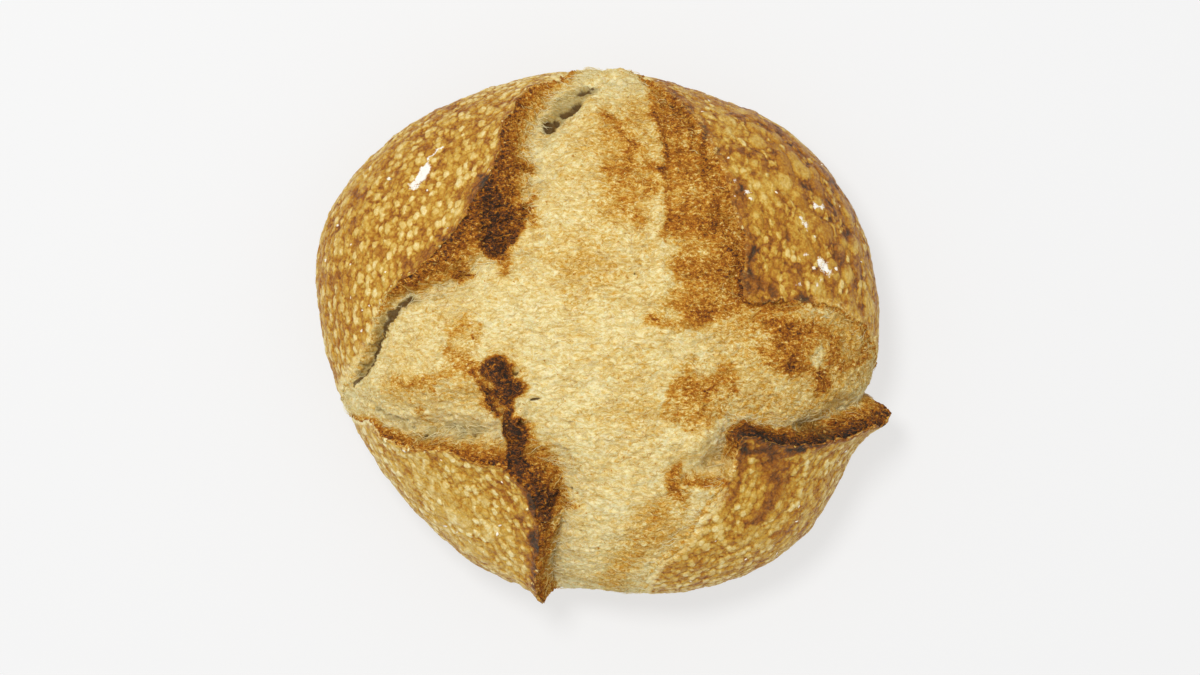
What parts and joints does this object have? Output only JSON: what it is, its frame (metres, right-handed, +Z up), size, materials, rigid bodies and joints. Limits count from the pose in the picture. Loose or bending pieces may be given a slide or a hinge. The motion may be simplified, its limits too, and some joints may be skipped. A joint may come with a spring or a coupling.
{
  "type": "sourdough loaf",
  "caption": "Round country loaf scored with a cross, its crust flaps sprung open over pale torn crumb, resting on a flat foot.",
  "frame": {"origin": "middle of the bounding box's underside, on the loaf's flat foot", "axes": "+Z up through the crown; +X towards the pointed tip of the south-east flap's raised edge, along the loaf's longer width; +Y towards the wide arm of the cross"},
  "size_m": [0.2382, 0.22, 0.0991],
  "materials": {
    "crust": null
  },
  "bodies": {
    "root": {"loaf": "crust"}
  },
  "joints": []
}
